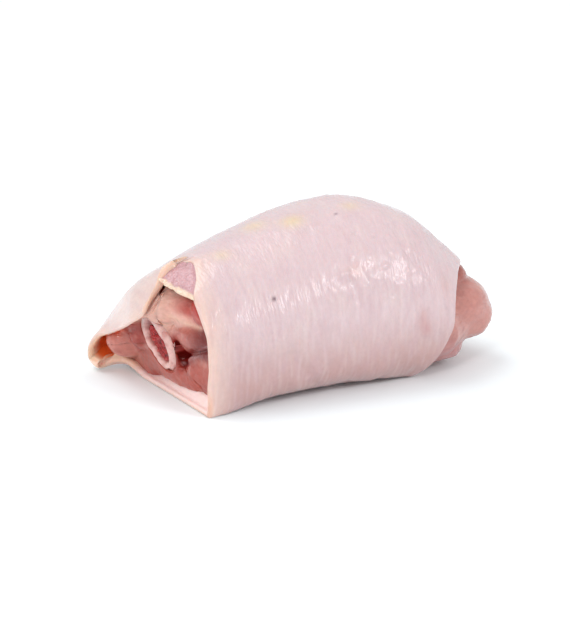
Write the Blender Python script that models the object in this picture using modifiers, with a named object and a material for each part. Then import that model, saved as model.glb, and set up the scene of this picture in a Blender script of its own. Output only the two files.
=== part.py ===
"""Raw chicken thigh, bone in and skin on, lying on its cut edge with the open end at -X.

The skin is a tube lofted through unlike sections along X, cut off obliquely at the open end and
at the knee, and pulled back in a notch over the open end. Inside it lie one solid of meat with
its muscles, the thigh bone with its cut end showing, the marrow in the bone, and a thin membrane
across the notch. Tables are in millimetres, measured from the low front corner of the open end.
"""

from collections import namedtuple
from math import pi

import bmesh
import bpy
import numpy as np
from mathutils import Euler, Matrix, Vector

MM = 0.001
# Where the middle of the whole piece lies, from the low front corner of the open end
MIDDLE = (40.8, 26.8)

SKIN_THICK = 1.8
GAP = 0.3
# The meat's own surface stays this far under the outside of the skin, a little past the gap
MEAT_DEPTH = SKIN_THICK + 1.5 * GAP
# Shares of the length: clearance past each rim, and the step over which a direction is measured
RIM_ROOM = 0.004
NORMAL_STEP = 0.004

# Grid of the skin: lines round the section, and shares of the length, closer near both rims
LINES_ROUND = 52
RINGS = (0, 0.012, 0.03, 0.055, 0.09, 0.13, 0.18, 0.24, 0.30, 0.36, 0.42,
         0.48, 0.54, 0.60, 0.66, 0.72, 0.78, 0.84, 0.90, 0.95, 0.985, 1)
MEAT_RINGS = (4, 19)

# One cross section: the front, top and back points, and how full the curve between them is
Station = namedtuple("Station", "x y_front y_back y_top z_top z_front z_back full_front full_back full_under")
STATIONS = (
    Station(-16.0, 5.6, 55.0, 36.0, 22.2, 5.6, 6.5, 2.0, 1.8, 3.0),
    Station(0.0, -0.8, 56.4, 22.6, 37.2, 9.4, 8.5, 2.1, 1.6, 4.0),
    Station(18.8, -2.3, 57.3, 25.4, 43.2, 15.0, 13.2, 2.1, 1.8, 4.0),
    Station(42.3, -2.8, 57.3, 27.3, 48.9, 17.9, 16.9, 2.2, 1.95, 3.8),
    Station(54.5, -3.3, 55.5, 26.3, 50.0, 17.9, 17.9, 2.2, 2.1, 3.8),
    Station(69.6, -3.6, 50.8, 24.4, 46.1, 16.9, 16.9, 2.2, 2.1, 3.8),
    Station(84.6, -0.9, 42.3, 20.7, 35.7, 14.1, 14.1, 2.2, 2.1, 3.2),
    Station(95.9, 2.8, 33.8, 18.8, 24.4, 11.3, 11.3, 2.1, 2.1, 3.0),
)

# One point of a rim: its share of the way round (0 front, 0.25 top, 0.5 back, 0.75 floor), its
# place, and how far along the skin it draws the surface towards itself
Rim = namedtuple("Rim", "share x y z reach")
MOUTH_RIM = (
    Rim(-0.135, 0.0, 0.5, 0.0, 24), Rim(-0.10, 0.0, -0.4, 2.8, 24), Rim(-0.05, 0.0, -0.6, 8.5, 24),
    Rim(0.0, 0.5, -0.4, 14.1, 24), Rim(0.06, 0.5, 0.4, 21.1, 21), Rim(0.12, 0.5, 3.8, 27.3, 17),
    Rim(0.165, 0.8, 7.5, 32.4, 13), Rim(0.19, 2.3, 12.8, 36.1, 9.5), Rim(0.213, 4.9, 19.3, 38.8, 7.5),
    Rim(0.232, 2.1, 22.2, 38.0, 7.5), Rim(0.25, -2.8, 22.6, 36.5, 7.5), Rim(0.29, -6.1, 21.4, 31.6, 7.5),
    Rim(0.335, -9.9, 22.1, 25.4, 7.5), Rim(0.38, -12.2, 28.2, 20.7, 7.5), Rim(0.43, -13.3, 40.9, 14.7, 6.6),
    Rim(0.47, -14.6, 47.9, 12.0, 5.6), Rim(0.50, -15.8, 52.2, 6.6, 5.6), Rim(0.525, -15.5, 53.1, 2.8, 7.5),
    Rim(0.55, -13.8, 49.3, 0.4, 13), Rim(0.585, -8.9, 49.3, 1.1, 21), Rim(0.62, -5.5, 47.5, 0.9, 24),
    Rim(0.68, -4.2, 35.7, 0.0, 24), Rim(0.75, -2.8, 24.4, 0.0, 24), Rim(0.82, -1.1, 10.3, 0.0, 24),
)
KNEE_RIM = (
    Rim(-0.15, 66.7, 5.2, 0.3, 21), Rim(-0.10, 69.6, 0.5, 3.8, 21), Rim(-0.05, 72.8, -2.3, 9.4, 21),
    Rim(0.0, 75.7, -3.1, 16.0, 21), Rim(0.07, 77.1, -1.4, 23.5, 21), Rim(0.14, 81.3, 4.7, 29.6, 21),
    Rim(0.20, 86.5, 12.2, 30.5, 21), Rim(0.25, 89.8, 18.8, 28.7, 21), Rim(0.33, 92.1, 26.8, 25.4, 21),
    Rim(0.42, 91.2, 33.8, 19.7, 21), Rim(0.50, 86.5, 38.5, 12.2, 21), Rim(0.60, 79.0, 35.7, 0.9, 21),
    Rim(0.68, 73.3, 28.2, 0.0, 21), Rim(0.76, 69.6, 16.9, 0.0, 21),
)
# Above the floor, the lines also run round the section to meet the rims
SLIDE_SHARES = (0.0, 0.53)
WIDEST_SLIDE = 0.22
SLIDE_STEP = 0.0005
# Millimetres that a whole turn round the section counts for, when the nearest share is sought
SLIDE_COST = 2.0

# One muscle: middle, half sizes and turn in degrees
Muscle = namedtuple("Muscle", "middle half turn")
MUSCLES = (
    Muscle((8.3, 9.8, 9.2), (9.8, 8.8, 7.8), (0, 0, 0)),
    Muscle((11.5, 12.5, 21.5), (11.5, 9.6, 8.8), (0, 0, 0)),
    Muscle((5.5, 24.0, 22.0), (11.0, 10.0, 6.8), (0, 0, 0)),
    Muscle((8.0, 18.0, 26.0), (9.5, 8.0, 7.0), (0, 0, 0)),
    Muscle((0.5, 37.0, 14.0), (9.8, 6.6, 5.2), (0, 0, 0)),
    Muscle((-4.0, 45.5, 10.4), (8.3, 5.0, 4.8), (0, 0, 0)),
    Muscle((2.5, 30.5, 7.3), (10.5, 12.0, 5.2), (0, 0, 0)),
    Muscle((84.0, 15.0, 17.0), (13.3, 11.6, 9.6), (0, 10, 18)),
    Muscle((76.0, 12.8, 6.3), (11.4, 9.3, 6.3), (0, 0, 12)),
    Muscle((82.5, 14.0, 25.2), (6.5, 6.0, 5.5), (0, 0, 0)),
    Muscle((88.8, 13.5, 13.2), (8.6, 8.5, 6.8), (0, 0, 0)),
)
MUSCLE_SIDES = 20
MUSCLE_BANDS = 12
# The front of the meat between the muscles is dished in by this much
MEAT_DISH = 7.0

# Thigh bone: an oval cut face at the open end that narrows to a round shaft
BONE_FACE = Vector((-3.8, 26.0, 13.8))
BONE_RUN = Vector((0.99, -0.05, 0.08)).normalized()
BONE_LENGTH = 70.0
FACE_LONG = Vector((0.24, -0.61, -0.76)) * 7.8
FACE_WIDE = Vector((0.27, -0.71, 0.65)) * 4.2
SHAFT_LONG = Vector((0.08, -0.30, -0.95)) * 4.6
SHAFT_WIDE = Vector((0.05, -0.95, 0.30)) * 4.4
NARROWS_OVER = 16.0
BONE_WALL = 1.4
BONE_SIDES = 24
BONE_STEP = 4.0
MARROW_LENGTH = 24.0
# How far the marrow lies back from the cut face, and how far the cutters stand out of it
MARROW_BACK = 0.2
HOLLOW_OUT = 2.0
ROOM_OUT = 12.0

# Membrane across the notch: where it hangs from on the rim's two sides, and how far
NOTCH_TIP = 0.213
MEMBRANE_LEFT = 0.240
MEMBRANE_RIGHT = 0.170
MEMBRANE_START = 0.25
MEMBRANE_SAG = 4.0
MEMBRANE_THICK = 0.8
MEMBRANE_DEPTH = 0.7
MEMBRANE_EDGE = 0.8
MEMBRANE_LINES = 9
MEMBRANE_ROWS = 8


def smooth(x, xs, ys):
    """A monotone cubic through the named points, flat beyond them."""
    width = np.diff(xs)
    slope = np.diff(ys) / width
    tangent = np.empty(len(xs))
    tangent[0], tangent[-1] = slope[0], slope[-1]
    left, right = 2 * width[1:] + width[:-1], width[1:] + 2 * width[:-1]
    rising = slope[1:] * slope[:-1] > 0
    safe = np.where(rising, slope[1:] * slope[:-1], 1)
    mean = (left + right) * safe / (left * slope[1:] + right * slope[:-1] + (~rising))
    tangent[1:-1] = np.where(rising, mean, 0)
    k = np.clip(np.searchsorted(xs, x) - 1, 0, len(xs) - 2)
    t = np.clip((x - xs[k]) / width[k], 0, 1)
    near = (1 + 2 * t) * (1 - t) ** 2 * ys[k] + t * (1 - t) ** 2 * width[k] * tangent[k]
    far = t * t * (3 - 2 * t) * ys[k + 1] - t * t * (1 - t) * width[k] * tangent[k + 1]
    return near + far


def along(x, field):
    """One measure of the cross section at x."""
    xs = np.array([station.x for station in STATIONS])
    return smooth(x, xs, np.array([getattr(station, field) for station in STATIONS]))


def around(share, shares, values):
    """The same round a closed outline, whose ends join."""
    xs = np.concatenate([shares[-2:] - 1, shares, shares[:2] + 1])
    ys = np.concatenate([values[-2:], values, values[:2]])
    return smooth((share - shares[0]) % 1 + shares[0], xs, ys)


def section(x, share):
    """(y, z) of the outside of the skin: four quarter curves between front, top, back and floor."""
    quarter = np.minimum(np.floor(share % 1 * 4), 3)
    angle = (share % 1 * 4 - quarter) * pi / 2
    front = along(x, "y_front"), along(x, "z_front")
    top = along(x, "y_top"), along(x, "z_top")
    back = along(x, "y_back"), along(x, "z_back")
    floor = (front[0] + back[0]) / 2, 0 * front[0]
    y = np.zeros(np.broadcast(x, share).shape)
    z = y.copy()
    turns = (
        (front, top, "full_front"),
        (back, top, "full_back"),
        (back, floor, "full_under"),
        (front, floor, "full_under"),
    )
    for k, (side, end, full) in enumerate(turns):
        power = 2 / along(x, full)
        # Quarters 1 and 3 run from the end point to the side point
        swing = angle if k % 2 == 0 else pi / 2 - angle
        across = np.abs(np.cos(swing)) ** power
        rise = np.abs(np.sin(swing)) ** power
        here = quarter == k
        y = np.where(here, end[0] + (side[0] - end[0]) * across, y)
        z = np.where(here, side[1] + (end[1] - side[1]) * rise, z)
    return y, z


def ease(t):
    t = np.clip(t, 0, 1)
    return (1 - t) ** 2 * (1 + 2 * t)


class Outline:
    """A rim of the skin, with the section's own share nearest to each of its points."""

    def __init__(self, points):
        self.shares = np.array([p.share for p in points])
        self.points = np.array([(p.x, p.y, p.z) for p in points])
        self.reaches = np.array([p.reach for p in points], float)
        self.slides = np.array([self.slide(p) for p in points])

    def slide(self, point):
        if not SLIDE_SHARES[0] <= point.share <= SLIDE_SHARES[1]:
            return 0.0
        near = np.arange(-WIDEST_SLIDE, WIDEST_SLIDE, SLIDE_STEP)
        y, z = section(np.full(near.shape, point.x), point.share + near)
        return near[np.argmin((y - point.y) ** 2 + (z - point.z) ** 2 + (SLIDE_COST * near) ** 2)]

    def at(self, share):
        return [around(share, self.shares, column) for column in self.points.T]

    def turn(self, share):
        return around(share, self.shares, self.slides)

    def reach(self, share):
        return around(share, self.shares, self.reaches)


MOUTH, KNEE = Outline(MOUTH_RIM), Outline(KNEE_RIM)


def skin_surface(s, share):
    """Outside of the skin at s of the way from the open end to the knee; s may pass either rim."""
    mouth, knee = MOUTH.at(share), KNEE.at(share)
    x = mouth[0] + (knee[0] - mouth[0]) * s
    to_mouth = ease((x - mouth[0]) / MOUTH.reach(share))
    to_knee = ease((knee[0] - x) / KNEE.reach(share))
    y, z = section(x, share + to_mouth * MOUTH.turn(share) + to_knee * KNEE.turn(share))
    for rim, place, pull in ((MOUTH, mouth, to_mouth), (KNEE, knee, to_knee)):
        plain = section(place[0], share + rim.turn(share))
        y = y + pull * (place[1] - plain[0])
        z = z + pull * (place[2] - plain[1])
    return np.stack([x, y, np.maximum(z, 0)], -1)


def skin_normal(s, share):
    """Outward direction of the same surface, from its neighbours."""
    lengthwise = skin_surface(s + NORMAL_STEP, share) - skin_surface(s - NORMAL_STEP, share)
    crosswise = skin_surface(s, share + NORMAL_STEP) - skin_surface(s, share - NORMAL_STEP)
    normal = np.cross(lengthwise, crosswise)
    return normal / np.maximum(np.linalg.norm(normal, axis=-1, keepdims=True), 1e-9)


def in_frame(points):
    """Table millimetres to metres from the middle of the piece's foot."""
    return (np.asarray(points, float) - (*MIDDLE, 0)) * MM


def material(name, colour, roughness):
    made = bpy.data.materials.new(name)
    made.use_nodes = True
    shader = made.node_tree.nodes["Principled BSDF"]
    shader.inputs["Base Color"].default_value = (*colour, 1)
    shader.inputs["Roughness"].default_value = roughness
    shader.inputs["Metallic"].default_value = 0
    return made


def keep(name, mesh, collection, surface=None):
    """A new object of the mesh in the collection."""
    made = bpy.data.objects.new(name, mesh)
    collection.objects.link(made)
    if surface:
        mesh.materials.append(surface)
        mesh.shade_smooth()
    else:
        made.hide_render = True
        made.display_type = "WIRE"
    return made


def lofted(name, rings, ends=None):
    """A mesh over rings of points that close on themselves, with a fan to a point over each end."""
    count = len(rings[0])
    points = [tuple(p) for ring in rings for p in ring]
    faces = []
    for k in range(len(rings) - 1):
        for i in range(count):
            j = (i + 1) % count
            faces.append((k * count + i, (k + 1) * count + i, (k + 1) * count + j, k * count + j))
    if ends is not None:
        first, last = len(points), len(points) + 1
        points += [tuple(end) for end in ends]
        top = (len(rings) - 1) * count
        for i in range(count):
            j = (i + 1) % count
            faces.append((first, i, j))
            faces.append((last, top + j, top + i))
    mesh = bpy.data.meshes.new(name)
    mesh.from_pydata(points, [], faces)
    return mesh


def shelled(made, thick):
    """Thickness on the inner side of an open surface."""
    shell = made.modifiers.new("shell", "SOLIDIFY")
    shell.thickness = thick * MM
    shell.offset = -1
    shell.use_rim = True


def skin_rings(first, last, depth, past=0.0):
    """Rings of the skin's grid at a depth under its outside, with the end rings moved past the rims."""
    share = np.arange(LINES_ROUND) / LINES_ROUND
    rings = []
    for k in range(first, last + 1):
        s = RINGS[k] + (past if k == len(RINGS) - 1 else -past if k == 0 else 0)
        s = np.full(LINES_ROUND, float(s))
        rings.append(in_frame(skin_surface(s, share) - skin_normal(s, share) * depth))
    return rings


def add_skin(parts):
    """The skin: a tube of even thickness, flat where it lies."""
    mesh = lofted("skin", skin_rings(0, len(RINGS) - 1, 0))
    made = keep("skin", mesh, parts, material("skin", (0.80, 0.62, 0.58), 0.35))
    shelled(made, SKIN_THICK)
    return made


def bone_ring(t, inset):
    """A section of the bone t along its run, this much smaller all round."""
    share = ease(max(t, 0) / NARROWS_OVER)
    sides = []
    for face, shaft in ((FACE_LONG, SHAFT_LONG), (FACE_WIDE, SHAFT_WIDE)):
        side = shaft + (face - shaft) * float(share)
        sides.append(side * (1 - inset / side.length))
    middle = BONE_FACE + BONE_RUN * t
    angles = np.arange(BONE_SIDES) * 2 * pi / BONE_SIDES
    ring = [middle + sides[0] * np.cos(a) + sides[1] * np.sin(a) for a in angles]
    return in_frame(ring)


def bone_loft(name, start, end, inset):
    steps = np.linspace(start, end, int((end - start) / BONE_STEP) + 2)
    rings = [bone_ring(t, inset) for t in steps]
    return lofted(name, rings, (rings[0].mean(0), rings[-1].mean(0)))


def subtract(made, cutter):
    cut = made.modifiers.new(cutter.name, "BOOLEAN")
    cut.operation = "DIFFERENCE"
    cut.object = cutter
    cut.solver = "MANIFOLD"


def add_bone(parts, cutters):
    """The thigh bone, hollow from its cut face inward, and the marrow in it."""
    ivory = material("bone", (0.78, 0.60, 0.55), 0.4)
    bone = keep("bone", bone_loft("bone", 0, BONE_LENGTH, 0), parts, ivory)
    hollow = bone_loft("bone_hollow", -HOLLOW_OUT, MARROW_LENGTH + GAP, BONE_WALL)
    subtract(bone, keep("bone_hollow", hollow, cutters))
    red = material("marrow", (0.42, 0.05, 0.04), 0.45)
    core = bone_loft("marrow", MARROW_BACK, MARROW_LENGTH, BONE_WALL + GAP)
    keep("marrow", core, parts, red)


def muscle_mesh(muscle):
    """A round lobe, stretched, turned and put in place."""
    shape = bmesh.new()
    bmesh.ops.create_uvsphere(shape, u_segments=MUSCLE_SIDES, v_segments=MUSCLE_BANDS, radius=1)
    turn = Euler([angle * pi / 180 for angle in muscle.turn]).to_matrix().to_4x4()
    place = Matrix.Translation(Vector(in_frame(muscle.middle)))
    stretch = Matrix.Diagonal((*[side * MM for side in muscle.half], 1))
    bmesh.ops.transform(shape, matrix=place @ turn @ stretch, verts=shape.verts)
    mesh = bpy.data.meshes.new("muscle")
    shape.to_mesh(mesh)
    shape.free()
    return mesh


def add_skin_room(cutters):
    """The skin with its clearance, to cut what lies against it."""
    rings = skin_rings(0, len(RINGS) - 1, -GAP, RIM_ROOM)
    room = keep("skin_room", lofted("skin_room", rings), cutters)
    shelled(room, SKIN_THICK + 2 * GAP)
    return room


def add_meat(parts, cutters, lobes, clear_skin):
    """The meat: what fills the skin, with each muscle joined to it, cut clear of skin and bone."""
    rings = skin_rings(*MEAT_RINGS, MEAT_DEPTH)
    front = rings[0].mean(0) + (MEAT_DISH * MM, 0, 0)
    mesh = lofted("meat", rings, (front, rings[-1].mean(0)))
    meat = keep("meat", mesh, parts, material("meat", (0.62, 0.25, 0.20), 0.4))
    for k, muscle in enumerate(MUSCLES):
        keep(f"muscle_{k + 1}", muscle_mesh(muscle), lobes)
    fused = meat.modifiers.new("muscles", "BOOLEAN")
    fused.operation = "UNION"
    fused.operand_type = "COLLECTION"
    fused.collection = lobes
    fused.solver = "MANIFOLD"
    subtract(meat, clear_skin)
    room = bone_loft("bone_room", -ROOM_OUT, BONE_LENGTH + GAP, -GAP)
    subtract(meat, keep("bone_room", room, cutters))


def add_membrane(parts, clear_skin):
    """A thin film that hangs from the two sides of the notch over the muscles."""
    rows = []
    across = np.linspace(0, 1, MEMBRANE_LINES)[:, None]
    for t in np.linspace(MEMBRANE_START, 1, MEMBRANE_ROWS):
        left = np.array(MOUTH.at(NOTCH_TIP + (MEMBRANE_LEFT - NOTCH_TIP) * t))
        right = np.array(MOUTH.at(NOTCH_TIP + (MEMBRANE_RIGHT - NOTCH_TIP) * t))
        inward = (right - left) * MEMBRANE_EDGE / np.linalg.norm(right - left)
        row = left + inward + (right - left - 2 * inward) * across
        row[:, 2:] -= MEMBRANE_DEPTH + MEMBRANE_SAG * t**2 * 4 * across * (1 - across)
        rows.append(in_frame(row))
    points = [tuple(p) for row in rows for p in row]
    faces = []
    for k in range(MEMBRANE_ROWS - 1):
        for i in range(MEMBRANE_LINES - 1):
            a = k * MEMBRANE_LINES + i
            faces.append((a, a + MEMBRANE_LINES, a + MEMBRANE_LINES + 1, a + 1))
    mesh = bpy.data.meshes.new("membrane")
    mesh.from_pydata(points, [], faces)
    made = keep("membrane", mesh, parts, material("membrane", (0.62, 0.40, 0.40), 0.3))
    shelled(made, MEMBRANE_THICK)
    subtract(made, clear_skin)


def new_collection(name, hidden=False):
    made = bpy.data.collections.new(name)
    bpy.context.scene.collection.children.link(made)
    made.hide_render = hidden
    return made


def main():
    for old in list(bpy.data.objects):
        bpy.data.objects.remove(old)
    parts = new_collection("chicken_thigh")
    cutters = new_collection("cutters", hidden=True)
    lobes = new_collection("muscle_lobes", hidden=True)
    add_skin(parts)
    add_bone(parts, cutters)
    clear_skin = add_skin_room(cutters)
    add_meat(parts, cutters, lobes, clear_skin)
    add_membrane(parts, clear_skin)


main()
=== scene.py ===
"""Looks of a raw chicken thigh, bone in and skin on, lying with its open end towards -X.

The skin is one closed sheet with an outer and an inner side and rolled rims. Inside it show the
muscles, the cut thigh bone with its marrow, and a wet membrane across the notch. Tables are in
millimetres, measured from the low front corner of the open end; share goes round the section:
0 front, 0.25 top, 0.5 back, 0.75 floor.
"""

from collections import namedtuple
from math import pi, radians

import bpy
import numpy as np
from mathutils import Euler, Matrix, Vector

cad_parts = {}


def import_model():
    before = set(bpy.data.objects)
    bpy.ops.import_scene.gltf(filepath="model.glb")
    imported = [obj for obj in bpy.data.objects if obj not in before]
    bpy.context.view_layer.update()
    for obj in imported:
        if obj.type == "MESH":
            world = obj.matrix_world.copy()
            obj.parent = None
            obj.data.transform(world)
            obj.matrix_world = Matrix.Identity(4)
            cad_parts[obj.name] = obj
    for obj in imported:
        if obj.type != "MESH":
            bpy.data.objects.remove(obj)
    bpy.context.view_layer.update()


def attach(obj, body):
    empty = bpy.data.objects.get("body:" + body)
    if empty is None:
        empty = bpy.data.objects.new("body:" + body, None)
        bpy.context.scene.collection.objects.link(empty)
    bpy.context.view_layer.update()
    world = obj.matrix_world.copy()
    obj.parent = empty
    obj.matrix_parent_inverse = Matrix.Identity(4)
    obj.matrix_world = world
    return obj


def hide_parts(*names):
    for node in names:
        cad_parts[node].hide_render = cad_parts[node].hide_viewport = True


MM = 0.001
MIDDLE = (40.8, 26.8)
SKIN_THICK = 1.8
GAP = 0.3
NORMAL_STEP = 0.008
SPEED_STEP = 0.01

Station = namedtuple(
    "Station", "x y_front y_back y_top z_top z_front z_back full_front full_back full_under"
)
STATIONS = (
    Station(-16.0, 5.6, 55.0, 36.0, 22.2, 5.6, 6.5, 2.0, 1.8, 3.0),
    Station(0.0, -0.8, 56.4, 22.6, 37.2, 9.4, 8.5, 2.1, 1.6, 4.0),
    Station(18.8, -2.3, 57.3, 25.4, 43.2, 15.0, 13.2, 2.1, 1.8, 4.0),
    Station(42.3, -2.8, 57.3, 27.3, 48.9, 17.9, 16.9, 2.2, 1.95, 3.8),
    Station(54.5, -3.3, 55.5, 26.3, 50.0, 17.9, 17.9, 2.2, 2.1, 3.8),
    Station(69.6, -3.6, 50.8, 24.4, 46.1, 16.9, 16.9, 2.2, 2.1, 3.8),
    Station(84.6, -0.9, 42.3, 20.7, 35.7, 14.1, 14.1, 2.2, 2.1, 3.2),
    Station(95.9, 2.8, 33.8, 18.8, 24.4, 11.3, 11.3, 2.1, 2.1, 3.0),
)

Rim = namedtuple("Rim", "share x y z reach")
MOUTH_RIM = (
    Rim(-0.135, 0.0, 0.5, 0.0, 24), Rim(-0.10, 0.0, -0.4, 2.8, 24), Rim(-0.05, 0.0, -0.6, 8.5, 24),
    Rim(0.0, 0.5, -0.4, 14.1, 24), Rim(0.06, 0.5, 0.4, 21.1, 21), Rim(0.12, -0.1, 3.8, 27.3, 17),
    Rim(0.165, -0.8, 7.5, 32.4, 13), Rim(0.19, 2.3, 12.8, 36.1, 9.5), Rim(0.213, 4.0, 19.1, 38.8, 7.5),
    Rim(0.232, 2.1, 22.2, 38.0, 7.5), Rim(0.25, -2.8, 22.6, 36.5, 7.5), Rim(0.29, -6.1, 21.4, 31.6, 7.5),
    Rim(0.335, -9.9, 22.1, 25.4, 7.5), Rim(0.38, -12.2, 28.2, 20.7, 7.5), Rim(0.43, -13.3, 40.9, 14.7, 6.6),
    Rim(0.47, -14.6, 47.9, 12.0, 5.6), Rim(0.50, -15.8, 52.2, 6.6, 5.6), Rim(0.525, -15.5, 53.1, 2.8, 7.5),
    Rim(0.55, -13.8, 49.3, 0.4, 13), Rim(0.585, -8.9, 49.3, 1.1, 21), Rim(0.62, -5.5, 47.5, 0.9, 24),
    Rim(0.68, -4.2, 35.7, 0.0, 24), Rim(0.75, -2.8, 24.4, 0.0, 24), Rim(0.82, -1.1, 10.3, 0.0, 24),
)
KNEE_RIM = (
    Rim(-0.15, 66.7, 5.2, 0.3, 21), Rim(-0.10, 69.6, 0.5, 3.8, 21), Rim(-0.05, 72.8, -2.3, 9.4, 21),
    Rim(0.0, 75.7, -3.1, 16.0, 21), Rim(0.07, 77.1, -1.4, 23.5, 21), Rim(0.14, 81.3, 4.7, 29.6, 21),
    Rim(0.20, 86.5, 12.2, 30.5, 21), Rim(0.25, 89.8, 18.8, 28.7, 21), Rim(0.33, 92.1, 26.8, 25.4, 21),
    Rim(0.42, 91.2, 33.8, 19.7, 21), Rim(0.50, 86.5, 38.5, 12.2, 21), Rim(0.60, 79.0, 35.7, 0.9, 21),
    Rim(0.68, 73.3, 28.2, 0.0, 21), Rim(0.76, 69.6, 16.9, 0.0, 21),
)
SLIDE_SHARES = (0.0, 0.53)
WIDEST_SLIDE = 0.22
SLIDE_STEP = 0.0005
SLIDE_COST = 2.0

# Grid of the skin: even steps along and round it, coarser where it lies on the floor
ALONG_STEP = 0.38
AROUND_STEP = 0.36
UNDER_STEP = 1.6
UNDER_SHARES = (0.57, 0.865)
ROLL_STEPS = 7
INSIDE_NEAR = 16.0
INSIDE_STEPS = (26, 18)
# About how long the skin is, for even steps along it
SKIN_LENGTH = 82.0
# The rim's thickness gives way to the skin's own over this length
RIM_FADE = 4
# The fat inside the open end stands up in a pad along the floor: shares, reach in from the rim, height
PAD_SHARES, PAD_REACH, PAD_HEIGHT = (0.65, 0.79, 0.86, 0.91), (0.4, 8.5), 3.5
# Half the thickness of the rolled rim, by share
RIM_HALF = (
    (0.0, 0.85), (0.12, 0.85), (0.17, 0.7), (0.213, 0.5), (0.30, 0.5), (0.40, 0.55), (0.46, 0.9),
    (0.50, 1.0), (0.53, 1.5), (0.57, 1.8), (0.62, 1.3), (0.70, 0.9), (0.90, 0.9),
)


def smooth(x, xs, ys):
    """A monotone cubic through the named points, flat beyond them."""
    width = np.diff(xs)
    slope = np.diff(ys) / width
    tangent = np.empty(len(xs))
    tangent[0], tangent[-1] = slope[0], slope[-1]
    left, right = 2 * width[1:] + width[:-1], width[1:] + 2 * width[:-1]
    rising = slope[1:] * slope[:-1] > 0
    safe = np.where(rising, slope[1:] * slope[:-1], 1)
    mean = (left + right) * safe / (left * slope[1:] + right * slope[:-1] + (~rising))
    tangent[1:-1] = np.where(rising, mean, 0)
    k = np.clip(np.searchsorted(xs, x) - 1, 0, len(xs) - 2)
    t = np.clip((x - xs[k]) / width[k], 0, 1)
    near = (1 + 2 * t) * (1 - t) ** 2 * ys[k] + t * (1 - t) ** 2 * width[k] * tangent[k]
    far = t * t * (3 - 2 * t) * ys[k + 1] - t * t * (1 - t) * width[k] * tangent[k + 1]
    return near + far


def along(x, field):
    """One measure of the cross section at x."""
    xs = np.array([station.x for station in STATIONS])
    return smooth(x, xs, np.array([getattr(station, field) for station in STATIONS]))


def around(share, shares, values):
    """The same round a closed outline, whose ends join."""
    xs = np.concatenate([shares[-2:] - 1, shares, shares[:2] + 1])
    ys = np.concatenate([values[-2:], values, values[:2]])
    return smooth((share - shares[0]) % 1 + shares[0], xs, ys)


def section(x, share):
    """(y, z) of the outside of the skin: four quarter curves between front, top, back and floor."""
    quarter = np.minimum(np.floor(share % 1 * 4), 3)
    angle = (share % 1 * 4 - quarter) * pi / 2
    front = along(x, "y_front"), along(x, "z_front")
    top = along(x, "y_top"), along(x, "z_top")
    back = along(x, "y_back"), along(x, "z_back")
    floor = (front[0] + back[0]) / 2, 0 * front[0]
    y = np.zeros(np.broadcast(x, share).shape)
    z = y.copy()
    turns = (
        (front, top, "full_front"),
        (back, top, "full_back"),
        (back, floor, "full_under"),
        (front, floor, "full_under"),
    )
    for k, (side, end, full) in enumerate(turns):
        power = along(x, full)
        # Quarters 1 and 3 run from the end point to the side point
        swing = angle if k % 2 == 0 else pi / 2 - angle
        across, rise = np.abs(np.cos(swing)), np.abs(np.sin(swing))
        reach = (across**power + rise**power) ** (1 / power)
        here = quarter == k
        y = np.where(here, end[0] + (side[0] - end[0]) * across / reach, y)
        z = np.where(here, side[1] + (end[1] - side[1]) * rise / reach, z)
    return y, z


def ease(t):
    t = np.clip(t, 0, 1)
    return (1 - t) ** 2 * (1 + 2 * t)


class Outline:
    """A rim of the skin, with the section's own share nearest to each of its points."""

    def __init__(self, points):
        self.shares = np.array([p.share for p in points])
        self.points = np.array([(p.x, p.y, p.z) for p in points])
        self.reaches = np.array([p.reach for p in points], float)
        self.slides = np.array([self.slide(p) for p in points])

    def slide(self, point):
        if not SLIDE_SHARES[0] <= point.share <= SLIDE_SHARES[1]:
            return 0.0
        near = np.arange(-WIDEST_SLIDE, WIDEST_SLIDE, SLIDE_STEP)
        y, z = section(np.full(near.shape, point.x), point.share + near)
        return near[np.argmin((y - point.y) ** 2 + (z - point.z) ** 2 + (SLIDE_COST * near) ** 2)]

    def at(self, share):
        return [around(share, self.shares, column) for column in self.points.T]

    def turn(self, share):
        return around(share, self.shares, self.slides)

    def reach(self, share):
        return around(share, self.shares, self.reaches)


MOUTH, KNEE = Outline(MOUTH_RIM), Outline(KNEE_RIM)


def skin_surface(s, share):
    """Outside of the skin at s of the way from the open end to the knee."""
    mouth, knee = MOUTH.at(share), KNEE.at(share)
    x = mouth[0] + (knee[0] - mouth[0]) * s
    to_mouth = ease((x - mouth[0]) / MOUTH.reach(share))
    to_knee = ease((knee[0] - x) / KNEE.reach(share))
    y, z = section(x, share + to_mouth * MOUTH.turn(share) + to_knee * KNEE.turn(share))
    for rim, place, pull in ((MOUTH, mouth, to_mouth), (KNEE, knee, to_knee)):
        plain = section(place[0], share + rim.turn(share))
        y = y + pull * (place[1] - plain[0])
        z = z + pull * (place[2] - plain[1])
    return np.stack([x, y, np.maximum(z, 0)], -1)


def skin_normal(s, share):
    """Outward direction of the same surface, from its neighbours."""
    lengthwise = skin_surface(s + NORMAL_STEP, share) - skin_surface(s - NORMAL_STEP, share)
    crosswise = skin_surface(s, share + NORMAL_STEP) - skin_surface(s, share - NORMAL_STEP)
    normal = np.cross(lengthwise, crosswise)
    return normal / np.maximum(np.linalg.norm(normal, axis=-1, keepdims=True), 1e-9)


def in_frame(points):
    """Table millimetres to metres from the middle of the piece's foot."""
    return (np.asarray(points, float) - (*MIDDLE, 0)) * MM


# Repeatable noise

HASH = (73856093, 19349663, 83492791)
MASK = 0xFFFFFFFF


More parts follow.
